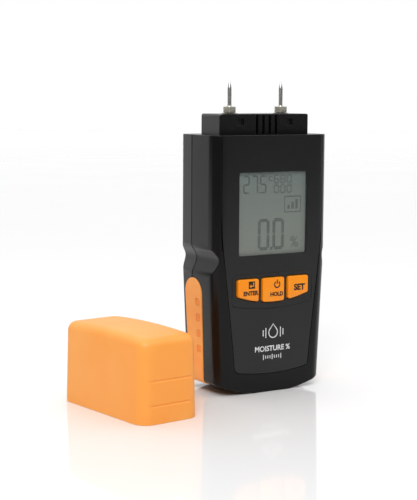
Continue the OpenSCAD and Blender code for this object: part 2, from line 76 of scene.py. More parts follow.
def hangKeyLight():
    lamp = bpy.data.lights.new("keyLight", "AREA")
    lamp.size = keyLight["size"]
    lamp.energy = keyLight["power"]
    lampObject = bpy.data.objects.new("keyLight", lamp)
    aim = Vector(keyLight["target"]) - Vector(keyLight["place"])
    facing = aim.to_track_quat("-Z", "Y").to_matrix().to_4x4()
    lampObject.matrix_world = Matrix.Translation(keyLight["place"]) @ facing
    bpy.context.scene.collection.objects.link(lampObject)


hangKeyLight()


# ---------- materials

def linearColour(hexText):
    channels = [int(hexText[i:i + 2], 16) / 255 for i in (1, 3, 5)]
    return tuple(c / 12.92 if c <= 0.04045 else ((c + 0.055) / 1.055) ** 2.4 for c in channels) + (1.0,)


def addNode(tree, kind, settings=None, links=None):
    node = tree.nodes.new("ShaderNode" + kind)
    for name, value in (settings or {}).items():
        if isinstance(name, str) and hasattr(node, name):
            setattr(node, name, value)
        else:
            node.inputs[name].default_value = value
    for socket, source in (links or {}).items():
        tree.links.new(source, node.inputs[socket])
    return node


def newMaterial(name):
    material = bpy.data.materials.new(name)
    material.use_nodes = True
    tree = material.node_tree
    tree.nodes.clear()
    shader = addNode(tree, "BsdfPrincipled")
    addNode(tree, "OutputMaterial", links={"Surface": shader.outputs["BSDF"]})
    return material, tree, shader


def moulded(name, look):
    # a moulded or rubbed surface: two close shades drifting into each other, and the grain of the tool
    material, tree, shader = newMaterial(name)
    place = addNode(tree, "TexCoord").outputs["Object"]
    drift = addNode(tree, "TexNoise", {"Scale": 1 / (look["driftMm"] * mm), "Detail": 2.0}, {"Vector": place})
    shade = addNode(tree, "ValToRGB", links={"Fac": drift.outputs["Fac"]})
    shade.color_ramp.elements[0].position = 0.35
    shade.color_ramp.elements[1].position = 0.65
    shade.color_ramp.elements[0].color = linearColour(look["dark"])
    shade.color_ramp.elements[1].color = linearColour(look["light"])
    tree.links.new(shade.outputs["Color"], shader.inputs["Base Color"])
    grain = addNode(tree, "TexNoise", {"Scale": 1 / (look["grainMm"] * mm), "Detail": 3.0}, {"Vector": place})
    rough = addNode(tree, "MapRange", {"To Min": look["rough"][0], "To Max": look["rough"][1]},
                    {"Value": grain.outputs["Fac"]})
    tree.links.new(rough.outputs["Result"], shader.inputs["Roughness"])
    bump = addNode(tree, "Bump", {"Strength": 1.0, "Distance": look["reliefMm"] * mm},
                   {"Height": grain.outputs["Fac"]})
    tree.links.new(bump.outputs["Normal"], shader.inputs["Normal"])
    for socket, value in look.get("shader", {}).items():
        shader.inputs[socket].default_value = value
    return material


def metal(name, look):
    # a turned or ground metal: rings round the piece's upright axis and small stains
    material, tree, shader = newMaterial(name)
    place = addNode(tree, "TexCoord").outputs["Object"]
    stretched = addNode(tree, "Mapping", {"Scale": look["stretch"]}, {"Vector": place})
    lines = addNode(tree, "TexNoise", {"Scale": 1 / (look["lineMm"] * mm), "Detail": 2.0},
                    {"Vector": stretched.outputs["Vector"]})
    stain = addNode(tree, "TexNoise", {"Scale": 1 / (look["stainMm"] * mm), "Detail": 3.0}, {"Vector": place})
    shade = addNode(tree, "ValToRGB", links={"Fac": stain.outputs["Fac"]})
    shade.color_ramp.elements[0].position = 0.3
    shade.color_ramp.elements[1].position = 0.7
    shade.color_ramp.elements[0].color = linearColour(look["dark"])
    shade.color_ramp.elements[1].color = linearColour(look["light"])
    tree.links.new(shade.outputs["Color"], shader.inputs["Base Color"])
    rough = addNode(tree, "MapRange", {"To Min": look["rough"][0], "To Max": look["rough"][1]},
                    {"Value": lines.outputs["Fac"]})
    tree.links.new(rough.outputs["Result"], shader.inputs["Roughness"])
    bump = addNode(tree, "Bump", {"Strength": 1.0, "Distance": look["reliefMm"] * mm},
                   {"Height": lines.outputs["Fac"]})
    tree.links.new(bump.outputs["Normal"], shader.inputs["Normal"])
    shader.inputs["Metallic"].default_value = 1.0
    return material


# moulded ABS with a spark-eroded grain of about 0.3 mm, drawn at 0.7 mm so that it shows: a soft, broken shine
# its colour is painted darker than the rear case's copy of the same ABS: painted shade on the front part
shadedFrontAbs = moulded("shadedFrontAbs", {"dark": "#090909", "light": "#0c0c0c", "driftMm": 30, "grainMm": 0.7,
                                "reliefMm": 0.01, "rough": (0.2, 0.3), "shader": {"Specular IOR Level": 0.27}})
# the same ABS on the rear case, painted lighter than the front case's copy as painted light on the rear part, and
# rougher
litRearAbs = moulded("litRearAbs", {"dark": "#171717", "light": "#1a1a1a", "driftMm": 30, "grainMm": 0.7,
                              "reliefMm": 0.012, "rough": (0.28, 0.38), "shader": {"Specular IOR Level": 0.45}})
# smoother ABS of the face panel: darker, with a wider, calmer shine
panelAbs = moulded("panelAbs", {"dark": "#121313", "light": "#151616", "driftMm": 24, "grainMm": 0.6,
                                "reliefMm": 0.006, "rough": (0.2, 0.28)})
# ABS of the pin head, between the two
headAbs = moulded("headAbs", {"dark": "#0e0e0e", "light": "#111111", "driftMm": 20, "grainMm": 0.6,
                              "reliefMm": 0.008, "rough": (0.24, 0.34), "shader": {"Specular IOR Level": 0.4}})
# moulded ABS keys with a satin skin: an even orange with soft highlights on the rounded edges
keyAbs = moulded("keyAbs", {"dark": "#fe9100", "light": "#ff9805", "driftMm": 8, "grainMm": 0.5,
                            "reliefMm": 0.008, "rough": (0.36, 0.46)})
# thermoplastic elastomer of the grips: dull, slightly dusty orange
gripElastomer = moulded("gripElastomer", {"dark": "#ffa544", "light": "#ffaf50", "driftMm": 9, "grainMm": 0.5,
                                          "reliefMm": 0.03, "rough": (0.55, 0.7),
                                          "shader": {"Sheen Weight": 0.15, "Sheen Roughness": 0.5}})
# the same elastomer on the dimple floors, with a lower roughness and painted a deeper orange: painted shade in the
# recesses
shadedDimpleElastomer = moulded("shadedDimpleElastomer", {"dark": "#ff8a14", "light": "#ff931f", "driftMm": 9,
                                                  "grainMm": 0.5, "reliefMm": 0.01, "rough": (0.35, 0.45)})
# moulded polypropylene of the cap: a waxy orange that lets a little light in
capPolypropylene = moulded("capPolypropylene", {"dark": "#fea345", "light": "#ffab50", "driftMm": 26,
                                                "grainMm": 0.6, "reliefMm": 0.01, "rough": (0.42, 0.52),
                                                "shader": {"IOR": 1.49}})
# screen-printed ink, dark brown on the keys
legendInk = moulded("legendInk", {"dark": "#0c0703", "light": "#140b05", "driftMm": 2, "grainMm": 0.3,
                                  "reliefMm": 0.004, "rough": (0.5, 0.65)})
# screen-printed ink, off-white on the panel
printInk = moulded("printInk", {"dark": "#cfd0d0", "light": "#dedfdf", "driftMm": 3, "grainMm": 0.3,
                                "reliefMm": 0.004, "rough": (0.5, 0.65)})
# white moulded ABS around the display
frameAbs = moulded("frameAbs", {"dark": "#d8d8d2", "light": "#e2e2dd", "driftMm": 12, "grainMm": 0.5,
                                "reliefMm": 0.01, "rough": (0.4, 0.5)})
# clear moulded acrylic light guide, milky from its frosted back
guideAcrylic = moulded("guideAcrylic", {"dark": "#dedfd6", "light": "#eceee6", "driftMm": 10, "grainMm": 0.8,
                                        "reliefMm": 0.01, "rough": (0.15, 0.25)})
# silicone rubber strip that joins the display to the board
connectorSilicone = moulded("connectorSilicone", {"dark": "#c27a86", "light": "#d38d98", "driftMm": 4,
                                                  "grainMm": 0.4, "reliefMm": 0.02, "rough": (0.6, 0.75)})
# glass epoxy board under green solder mask: glossy, with the weave just showing
boardEpoxy = moulded("boardEpoxy", {"dark": "#0d3b1d", "light": "#155029", "driftMm": 3, "grainMm": 0.9,
                                    "reliefMm": 0.02, "rough": (0.22, 0.34)})
# moulded epoxy of the chip
chipEpoxy = moulded("chipEpoxy", {"dark": "#161617", "light": "#1d1d1e", "driftMm": 3, "grainMm": 0.4,
                                  "reliefMm": 0.01, "rough": (0.5, 0.6)})
# nylon body of each key switch
switchNylon = moulded("switchNylon", {"dark": "#1b1b1c", "light": "#232324", "driftMm": 3, "grainMm": 0.4,
                                      "reliefMm": 0.01, "rough": (0.45, 0.55)})
# epoxy bead of the temperature sensor
sensorEpoxy = moulded("sensorEpoxy", {"dark": "#20243a", "light": "#2b3050", "driftMm": 1.5, "grainMm": 0.4,
                                      "reliefMm": 0.02, "rough": (0.2, 0.35)})
# printed shrink sleeve of the cells
sleeveFilm = moulded("sleeveFilm", {"dark": "#23262d", "light": "#2b2f37", "driftMm": 8, "grainMm": 0.8,
                                    "reliefMm": 0.008, "rough": (0.2, 0.32)})
# ground stainless steel of the needles: fine rings and a grey, slightly warm shine
needleSteel = metal("needleSteel", {"dark": "#cfcec9", "light": "#e6e5e0", "stretch": (1, 1, 12), "lineMm": 0.8,
                                    "stainMm": 3, "reliefMm": 0.004, "rough": (0.22, 0.36)})
# nickel plate over brass, where a warm tone shows through
nickelPlate = metal("nickelPlate", {"dark": "#d8d5c5", "light": "#f0ede0", "stretch": (1, 1, 6), "lineMm": 1.2,
                                    "stainMm": 2, "reliefMm": 0.004, "rough": (0.42, 0.54)})
# turned brass
turnedBrass = metal("turnedBrass", {"dark": "#a98a45", "light": "#caa85c", "stretch": (1, 1, 10), "lineMm": 0.8,
                                    "stainMm": 3, "reliefMm": 0.004, "rough": (0.25, 0.38)})
# zinc-plated screw steel, a little blue
zincSteel = metal("zincSteel", {"dark": "#8e9094", "light": "#b3b5b9", "stretch": (1, 8, 1), "lineMm": 0.8,
                                "stainMm": 2, "reliefMm": 0.006, "rough": (0.28, 0.42)})
# nickel-plated spring steel and contact plates
springNickel = metal("springNickel", {"dark": "#a2a19c", "light": "#c4c3bd", "stretch": (1, 1, 4), "lineMm": 0.8,
                                      "stainMm": 3, "reliefMm": 0.004, "rough": (0.18, 0.3)})
print("materials made")


def acrylicLens():
    # polished clear acrylic: nearly see-through, with a sharp reflection and faint wipe marks
    material, tree, shader = newMaterial("clearAcrylic")
    place = addNode(tree, "TexCoord").outputs["Object"]
    wiped = addNode(tree, "Mapping", {"Scale": (1, 1, 6), "Rotation": (0, radians(25), 0)}, {"Vector": place})
    marks = addNode(tree, "TexNoise", {"Scale": 1 / (6 * mm), "Detail": 3.0}, {"Vector": wiped.outputs["Vector"]})
    rough = addNode(tree, "MapRange", {"To Min": 0.03, "To Max": 0.09}, {"Value": marks.outputs["Fac"]})
    tree.links.new(rough.outputs["Result"], shader.inputs["Roughness"])
    shader.inputs["Base Color"].default_value = linearColour("#8d9692")
    shader.inputs["Alpha"].default_value = 0.14
    shader.inputs["IOR"].default_value = 1.49
    return material


def displayFilm():
    # reflective polariser of the display: grey-green, cooler towards the top, warmer towards the bottom
    material, tree, shader = newMaterial("displayFilm")
    low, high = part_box("display_lens")
    place = addNode(tree, "TexCoord").outputs["Object"]
    axes = addNode(tree, "SeparateXYZ", links={"Vector": place})
    height = addNode(tree, "MapRange", {"From Min": low.z, "From Max": high.z}, {"Value": axes.outputs["Z"]})
    shade = addNode(tree, "ValToRGB", links={"Fac": height.outputs["Result"]})
    shade.color_ramp.elements[0].color = linearColour("#878a80")
    shade.color_ramp.elements[1].color = linearColour("#737f7a")
    fibre = addNode(tree, "TexNoise", {"Scale": 1 / (0.8 * mm), "Detail": 2.0}, {"Vector": place})
    dim = addNode(tree, "MapRange", {"To Min": 0.94, "To Max": 1.0}, {"Value": fibre.outputs["Fac"]})
    tone = addNode(tree, "MixRGB", {"blend_type": "MULTIPLY", "Fac": 1.0},
                   {"Color1": shade.outputs["Color"], "Color2": dim.outputs["Result"]})
    tree.links.new(tone.outputs["Color"], shader.inputs["Base Color"])
    shader.inputs["Roughness"].default_value = 0.45
    return material


clearAcrylic = acrylicLens()
polariser = displayFilm()
# driven liquid crystal: a grey only somewhat darker than the film, as on a display seen from the side
crystalSegment = moulded("crystalSegment", {"dark": "#4a4f4c", "light": "#525753", "driftMm": 6, "grainMm": 0.5,
                                            "reliefMm": 0.002, "rough": (0.4, 0.5)})


# ---------- floor and surroundings

board = {"behind": 4.0, "front": 0.45, "side": 3.0}      # metres from the object to each edge


def layFloor():
    # painted, polished board: pale, and at this low angle it mirrors what stands on it
    bm = bmesh.new()
    verts = bmesh.ops.create_grid(bm, x_segments=1, y_segments=1, size=1)["verts"]
    for vert in verts:
        vert.co.x *= board["side"]
        vert.co.y = board["behind"] if vert.co.y > 0 else -board["front"]
    bmesh.ops.rotate(bm, verts=verts, cent=(0, 0, 0), matrix=Matrix.Rotation(radians(-view["yaw"]), 3, "Z"))
    mesh = bpy.data.meshes.new("floor")
    bm.to_mesh(mesh)
    bm.free()
    floor = bpy.data.objects.new("floor", mesh)
    bpy.context.scene.collection.objects.link(floor)
    material, tree, shader = newMaterial("paintedBoard")
    place = addNode(tree, "TexCoord").outputs["Object"]
    patch = addNode(tree, "TexNoise", {"Scale": 4.0, "Detail": 2.0}, {"Vector": place})
    rough = addNode(tree, "MapRange", {"To Min": 0.05, "To Max": 0.09}, {"Value": patch.outputs["Fac"]})
    tree.links.new(rough.outputs["Result"], shader.inputs["Roughness"])
    shader.inputs["Base Color"].default_value = linearColour("#eeeeee")
    mesh.materials.append(material)


# the studio: a white wall behind the object, a bright ceiling, and darkness behind the camera
studio = {"wallEdge": (0.02, 0.3), "ceilingEdge": (0.4, 0.75), "ceiling": 1.35, "dark": 0.1}


def paintWorld():
    world = bpy.data.worlds.new("studio")
    bpy.context.scene.world = world
    world.use_nodes = True
    tree = world.node_tree
    tree.nodes.clear()
    direction = addNode(tree, "TexCoord").outputs["Generated"]
    ahead = (sin(radians(view["yaw"])), cos(radians(view["yaw"])), 0.0)
    facing = addNode(tree, "VectorMath", {"operation": "DOT_PRODUCT", 1: ahead}, {0: direction})
    wall = addNode(tree, "MapRange", {"interpolation_type": "SMOOTHSTEP", "From Min": studio["wallEdge"][0],
                                      "From Max": studio["wallEdge"][1], "To Min": studio["dark"]},
                   {"Value": facing.outputs["Value"]})
    height = addNode(tree, "SeparateXYZ", links={"Vector": direction})
    ceiling = addNode(tree, "MapRange", {"interpolation_type": "SMOOTHSTEP", "From Min": studio["ceilingEdge"][0],
                                         "From Max": studio["ceilingEdge"][1], "To Max": studio["ceiling"]},
                      {"Value": height.outputs["Z"]})
    lit = addNode(tree, "Math", {"operation": "MAXIMUM"},
                  {0: wall.outputs["Result"], 1: ceiling.outputs["Result"]})
    seen = addNode(tree, "LightPath").outputs["Is Camera Ray"]
    shown = addNode(tree, "Math", {"operation": "MAXIMUM"}, {0: lit.outputs["Value"], 1: seen})
    glow = addNode(tree, "Background", {"Color": (1, 1, 1, 1)}, {"Strength": shown.outputs["Value"]})
    addNode(tree, "OutputWorld", links={"Surface": glow.outputs["Background"]})


layFloor()
paintWorld()
print("studio set up")


# ---------- mesh helpers

def finishPiece(name, bm, materials, body, replaced=(), smoothBelow=32):
    # hands a finished bmesh over as a piece that rides on a body and stands for CAD nodes
    for face in bm.faces:
        face.smooth = True
    for edge in bm.edges:
        edge.smooth = edge.calc_face_angle(0) < radians(smoothBelow)
    mesh = bpy.data.meshes.new(name)
    bm.to_mesh(mesh)
    bm.free()
    piece = bpy.data.objects.new(name, mesh)
    bpy.context.scene.collection.objects.link(piece)
    for material in materials if isinstance(materials, (list, tuple)) else [materials]:
        mesh.materials.append(material)
    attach(piece, body)
    if replaced:
        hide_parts(*replaced)
    return piece


def softEdges(piece, widthMm, overAngle=35, segments=2):
    bevel = piece.modifiers.new("softEdges", "BEVEL")
    bevel.width = widthMm * mm
    bevel.segments = segments
    bevel.limit_method = "ANGLE"
    bevel.angle_limit = radians(overAngle)
    bevel.use_clamp_overlap = False
    bevel.harden_normals = True
    return piece


def mergedCopy(node):
    # a copy of a CAD node's mesh with its triangles joined into clean faces
    bm = bmesh.new()
    bm.from_mesh(cadNodes[node].data)
    for layer in list(bm.loops.layers.uv.values()):
        bm.loops.layers.uv.remove(layer)
    bmesh.ops.remove_doubles(bm, verts=bm.verts, dist=0.002 * mm)
    bmesh.ops.dissolve_limit(bm, angle_limit=radians(0.4), verts=bm.verts, edges=bm.edges)
    return bm


def shell(node, name, material, widthMm=0.3, body="meter"):
    piece = finishPiece(name, mergedCopy(node), material, body, [node])
    return softEdges(piece, widthMm)


def box(bm, low, high):
    # a block between two corners
    made = bmesh.ops.create_cube(bm, size=1)["verts"]
    low, high = Vector(low), Vector(high)
    bmesh.ops.scale(bm, verts=made, vec=high - low)
    bmesh.ops.translate(bm, verts=made, vec=(low + high) / 2)
    return made


def turned(bm, profile, centre, steps=32):
    # turns a profile of (radius, height) points round an upright axis
    chain = [bm.verts.new((centre[0] + r, centre[1], z)) for r, z in profile]
    edges = [bm.edges.new(pair) for pair in zip(chain, chain[1:])]
    bmesh.ops.spin(bm, geom=chain + edges, cent=(centre[0], centre[1], 0), axis=(0, 0, 1),
                   angle=2 * pi, steps=steps, use_merge=True)
    bmesh.ops.remove_doubles(bm, verts=bm.verts, dist=0.001 * mm)
    bmesh.ops.recalc_face_normals(bm, faces=bm.faces)


def ribbon(bm, points, width, y, rise, closed=False):
    # a flat stroke of ink along points in X and Z, facing -Y
    count = len(points)
    sides = []
    for i, point in enumerate(points):
        before = points[i - 1] if i or closed else point
        after = points[(i + 1) % count] if i < count - 1 or closed else point
        along = Vector((after[0] - before[0], 0, after[1] - before[1])).normalized()
        out = Vector((-along.z, 0, along.x)) * width / 2
        middle = Vector((point[0], y, point[1]))
        sides.append((bm.verts.new(middle + out), bm.verts.new(middle - out)))
    pairs = list(zip(sides, sides[1:])) + ([(sides[-1], sides[0])] if closed else [])
    faces = [bm.faces.new((a[0], a[1], b[1], b[0])) for a, b in pairs]
    thicken(bm, faces, rise)


def thicken(bm, faces, rise):
    # gives flat ink its small thickness, towards -Y
    raised = bmesh.ops.extrude_face_region(bm, geom=faces)["geom"]
    bmesh.ops.translate(bm, verts=[v for v in raised if isinstance(v, bmesh.types.BMVert)], vec=(0, -rise, 0))
    bmesh.ops.recalc_face_normals(bm, faces=bm.faces)


def arcPoints(x, z, radius, start, end, steps):
    return [(x + radius * cos(radians(start + (end - start) * i / steps)),
             z + radius * sin(radians(start + (end - start) * i / steps))) for i in range(steps + 1)]


def wordMesh(bm, words, x, z, height, y, rise, weight=0.02):
    # plain lettering as a thin raised print, centred on x and z
    curve = bpy.data.curves.new("lettering", "FONT")
    curve.body = words
    curve.size = height / 0.73       # capitals stand 0.73 of the size
    curve.align_x = "CENTER"
    curve.offset = weight * height
    curve.extrude = rise / 2
    curve.resolution_u = 4
    holder = bpy.data.objects.new("lettering", curve)
    bpy.context.scene.collection.objects.link(holder)
    bpy.context.view_layer.update()
    final = holder.evaluated_get(bpy.context.evaluated_depsgraph_get())
    mesh = bpy.data.meshes.new_from_object(final)
    mesh.transform(Matrix.Translation((x, y - rise / 2, z - height / 2)) @ Matrix.Rotation(pi / 2, 4, "X"))
    known = set(bm.verts)
    bm.from_mesh(mesh)
    fresh = [v for v in bm.verts if v not in known]
    bmesh.ops.remove_doubles(bm, verts=fresh, dist=0.001 * mm)
    bpy.data.objects.remove(holder)
    bpy.data.meshes.remove(mesh)
    bpy.data.curves.remove(curve)


# ---------- case, panel and pin head

# the front and rear cases take darker and lighter copies of one ABS: painted shade at the front, painted light at
# the rear
shell("front_case", "frontCase", shadedFrontAbs)
shell("rear_case", "rearCase", litRearAbs)
shell("face_panel", "facePanel", panelAbs, 0.22)
shell("case_screws", "caseScrews", zincSteel, 0.12)
print("case made")

headRoll = {"width": 1.2, "reach": 1.6, "steps": 4}      # mm, at the head's two upper ends


def makePinHead():
    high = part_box("pin_head")[1]
    reach = headRoll["reach"] * mm
    bm = mergedCopy("pin_head")
    ends = [e for e in bm.edges
            if all(v.co.z > high.z - reach and abs(v.co.x) > high.x - reach for v in e.verts)
            and abs(e.verts[0].co.z - e.verts[1].co.z) < 0.01 * mm and e.calc_face_angle(0) > 1]
    bmesh.ops.connect_verts_concave(bm, faces=[f for f in bm.faces if f.normal.y < -0.9 or f.normal.z > 0.9])
    bmesh.ops.bevel(bm, geom=ends, offset=headRoll["width"] * mm, offset_type="OFFSET",
                    segments=headRoll["steps"], profile=0.5, affect="EDGES", material=-1, clamp_overlap=False)
    piece = softEdges(finishPiece("pinHead", bm, headAbs, "meter", ["pin_head"]), 0.15)
    # the slots' narrow corners upset hardened normals, so here each face is weighted by its area instead
    piece.modifiers["softEdges"].harden_normals = False
    piece.modifiers.new("evenNormals", "WEIGHTED_NORMAL").keep_sharp = True


makePinHead()

coverRidges = {"count": 5, "length": 14, "pitch": 1.9, "width": 0.8, "root": 0.4, "fromTop": 5.5}      # mm


def makeBatteryCover():
    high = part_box("battery_cover")[1]
    bm = mergedCopy("battery_cover")
    ridge = coverRidges
    for i in range(ridge["count"]):
        z = high.z - (ridge["fromTop"] + i * ridge["pitch"]) * mm
        box(bm, (-ridge["length"] / 2 * mm, high.y - ridge["root"] * mm, z - ridge["width"] / 2 * mm),
            (ridge["length"] / 2 * mm, high.y, z + ridge["width"] / 2 * mm))
    # the cover takes the lighter copy of the case ABS, painted light
    softEdges(finishPiece("batteryCover", bm, litRearAbs, "battery_cover", ["battery_cover"]), 0.25)


makeBatteryCover()


# ---------- keys

ink = {"rise": 0.06, "sunk": 0.02, "keyWeight": 0.065, "panelWeight": 0.035}      # mm, weights as a part of height
powerSign = {"radius": 1.5, "stroke": 0.6, "gap": (125, 415), "barLow": 0.2, "barHigh": 2.3}
keyShape = {"roll": 0.6, "steps": 4}


def makeKey(node, name):
    bm = mergedCopy(node)
    front = min(v.co.y for v in bm.verts)
    rim = [e for e in bm.edges if all(v.co.y < front + 0.01 * mm for v in e.verts)]
    bmesh.ops.bevel(bm, geom=rim, offset=keyShape["roll"] * mm, offset_type="OFFSET", segments=keyShape["steps"],
                    profile=0.5, affect="EDGES", material=-1, clamp_overlap=False)
    finishPiece(name, bm, keyAbs, node, [node])


def powerMark(bm, x, z, y):
    # ring with a gap at the top, and an upright stroke in the gap
    sign = powerSign
    ring = arcPoints(x, z, sign["radius"] * mm, *sign["gap"], 20)
    bar = [(x, z + sign["barLow"] * mm), (x, z + sign["barHigh"] * mm)]
    for stroke in (ring, bar):
        ribbon(bm, stroke, sign["stroke"] * mm, y, ink["rise"] * mm)


def returnMark(bm, x, z, y):
    # printed square with an arrow that turns back left open in it, for "take this reading in"
    half = 1.75 * mm
    square = bmesh.ops.create_grid(bm, x_segments=7, y_segments=7, size=half)["verts"]
    faces = list({f for v in square for f in v.link_faces})
    column = [round((f.calc_center_median().x + half) / half * 3.5 - 0.5) for f in faces]
    row = [round((f.calc_center_median().y + half) / half * 3.5 - 0.5) for f in faces]
    arrow = {(1, 2), (2, 1), (2, 2), (2, 3), (3, 2), (4, 2), (5, 2), (5, 3), (5, 4), (5, 5)}
    opened = [f for f, c, r in zip(faces, column, row) if (c, r) in arrow]
    kept = [f for f in faces if f not in opened]
    bmesh.ops.delete(bm, geom=opened, context="FACES")
    bmesh.ops.rotate(bm, verts=square, cent=(0, 0, 0), matrix=Matrix.Rotation(pi / 2, 3, "X"))
    bmesh.ops.translate(bm, verts=square, vec=(x, y, z))
    thicken(bm, kept, ink["rise"] * mm)


# words and marks on each key, placed from the key's middle and top, in mm; weight is a part of the height
keyPrint = {
    "key_enter": {"name": "enterKey", "word": "ENTER", "wordAt": (1.0, -7.3), "capitals": 2.0,
                  "mark": returnMark, "markAt": (1.6, -3.5)},
    "key_power": {"name": "powerKey", "word": "HOLD", "wordAt": (1.6, -8.6), "capitals": 1.95,
                  "mark": powerMark, "markAt": (1.8, -4.1)},
    "key_set": {"name": "setKey", "word": "SET", "wordAt": (0.5, -6.1), "capitals": 2.9},
}


def printKey(node, plan):
    low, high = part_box(node)
    middle = (low.x + high.x) / 2
    bm = bmesh.new()
    wordMesh(bm, plan["word"], middle + plan["wordAt"][0] * mm, high.z + plan["wordAt"][1] * mm,
             plan["capitals"] * mm, low.y + ink["sunk"] * mm, ink["rise"] * mm, ink["keyWeight"])
    if "mark" in plan:
        plan["mark"](bm, middle + plan["markAt"][0] * mm, high.z + plan["markAt"][1] * mm,
                     low.y + ink["sunk"] * mm)
    finishPiece(plan["name"] + "Print", bm, legendInk, node)


for keyNode, plan in keyPrint.items():
    makeKey(keyNode, plan["name"])
    printKey(keyNode, plan)
print("keys made")


# ---------- grips

gripDimples = {"count": 4, "pitch": 7.5, "firstZ": 21, "size": 3.6, "fromFront": 3.5, "deep": 0.25, "slope": 0.3}


def makeGrip(node, name, side):
    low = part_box(node)[0]
    bm = mergedCopy(node)
    dimple = gripDimples
    half = dimple["size"] / 2 * mm
    middleY = low.y + dimple["fromFront"] * mm
    heights = [(dimple["firstZ"] + i * dimple["pitch"]) * mm for i in range(dimple["count"])]
    cuts = [((0, middleY + s * half, 0), (0, 1, 0)) for s in (-1, 1)]
    cuts += [((0, 0, z + s * half), (0, 0, 1)) for z in heights for s in (-1, 1)]
    for point, normal in cuts:
        bmesh.ops.bisect_plane(bm, geom=bm.verts[:] + bm.edges[:] + bm.faces[:], plane_co=point, plane_no=normal)
    for z in heights:
        patch = [f for f in bm.faces if f.normal.x * side > 0.9
                 and abs(f.calc_center_median().z - z) < half
                 and all(abs(v.co.y - middleY) < half + 0.01 * mm for v in f.verts)
                 and all(abs(v.co.z - z) < half + 0.01 * mm for v in f.verts)]
        bmesh.ops.inset_region(bm, faces=patch, thickness=dimple["slope"] * mm, depth=-dimple["deep"] * mm,
                               use_even_offset=True)
        # the dimple floors take the deeper orange: painted shade in the recesses
        for face in patch:
            face.material_index = 1
    softEdges(finishPiece(name, bm, [gripElastomer, shadedDimpleElastomer], "meter", [node]), 0.25)


makeGrip("left_grip", "leftGrip", -1)
makeGrip("right_grip", "rightGrip", 1)
print("grips made")


# ---------- display

def makeLens():
    bm = mergedCopy("display_lens")
    softEdges(finishPiece("displayLens", bm, clearAcrylic, "meter", ["display_lens"]), 0.15)


def makeDisplay():
    bm = mergedCopy("lcd_glass")
    softEdges(finishPiece("displayGlass", bm, polariser, "meter", ["lcd_glass"]), 0.2)


litSegments = {"0": "abcdef", "1": "bc", "2": "abged", "3": "abgcd", "4": "fgbc", "5": "afgcd",
               "6": "afgedc", "7": "abc", "8": "abcdefg", "9": "abcdfg"}


def digit(bm, figure, x, z, width, height, stroke):
    # one seven-segment figure as flat faces: lower left corner at x, z
    spots = {
        "a": (width / 2, height, 1), "d": (width / 2, 0, 1), "g": (width / 2, height / 2, 1),
        "f": (0, height * 0.75, 0), "b": (width, height * 0.75, 0),
        "e": (0, height * 0.25, 0), "c": (width, height * 0.25, 0),
    }
    for key in litSegments[figure]:
        dx, dz, flat = spots[key]
        length = (width if flat else height / 2) - stroke * 0.35
        made = bmesh.ops.create_grid(bm, x_segments=1, y_segments=1, size=0.5)["verts"]
        bmesh.ops.scale(bm, verts=made, vec=(length, stroke, 1))
        turn = Matrix.Rotation(pi / 2, 3, "X") @ Matrix.Rotation(0 if flat else pi / 2, 3, "Z")
        bmesh.ops.rotate(bm, verts=made, cent=(0, 0, 0), matrix=turn)
        bmesh.ops.translate(bm, verts=made, vec=(x + dx, 0, z + dz))


# the readings on the display, in mm: text, left edge, bottom, digit width and height, stroke
readings = [
    ("275", -15.9, 95.5, 2.9, 7.8, 0.85),
    ("680", 1.3, 99.9, 2.4, 3.5, 0.6),
    ("000", 1.3, 95.2, 2.4, 3.5, 0.6),
    ("00", -7.0, 68.9, 5.0, 13.4, 1.6),
]


def makeReadings():
    y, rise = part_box("lcd_glass")[0].y, 0.04 * mm
    bm = bmesh.new()
    for figures, x, z, width, height, stroke in readings:
        for i, figure in enumerate(figures):
            digit(bm, figure, (x + i * (width + 2.1 * stroke)) * mm, z * mm, width * mm, height * mm, stroke * mm)
    bmesh.ops.bevel(bm, geom=bm.verts[:], offset=0.22 * mm, offset_type="OFFSET", segments=1, profile=0.5,
                    affect="VERTICES", material=-1, clamp_overlap=True)
    bmesh.ops.translate(bm, verts=bm.verts, vec=(0, y, 0))
    thicken(bm, bm.faces[:], rise)
    for x, z, size in ((-7.3, 95.5, 0.8), (0.0, 68.9, 1.5)):      # decimal points
        ribbon(bm, [((x - size / 2) * mm, z * mm), ((x + size / 2) * mm, z * mm)], size * mm, y, rise)
    wordMesh(bm, "%", 13.2 * mm, 71.6 * mm, 5.4 * mm, y, rise, 0.01)
    wordMesh(bm, "C", -0.9 * mm, 102.0 * mm, 2.4 * mm, y, rise, 0.05)
    ribbon(bm, arcPoints(-2.7 * mm, 102.9 * mm, 0.5 * mm, 0, 330, 11), 0.3 * mm, y, rise, closed=True)
    # framed level bars
    frameLine = [(7.3, 85.8), (16.6, 85.8), (16.6, 93.2), (7.3, 93.2)]
    ribbon(bm, [(x * mm, z * mm) for x, z in frameLine], 0.7 * mm, y, rise, closed=True)
    for i in range(3):
        x = (9.7 + 2.3 * i) * mm
        ribbon(bm, [(x, 87.2 * mm), (x, (89.2 + 1.3 * i) * mm)], 1.4 * mm, y, rise)
    finishPiece("displayReadings", bm, crystalSegment, "meter")


makeLens()
makeDisplay()
makeReadings()
print("display made")


# ---------- print on the panel

panelPrint = {"dropX": 0.6, "dropZ": 28.6, "dropR": 2.5, "dropTop": 4.1, "line": 0.5,
              "nameZ": 21.1, "capitals": 2.6, "scaleZ": 16.9, "ticks": 9, "tickGap": 1.25}


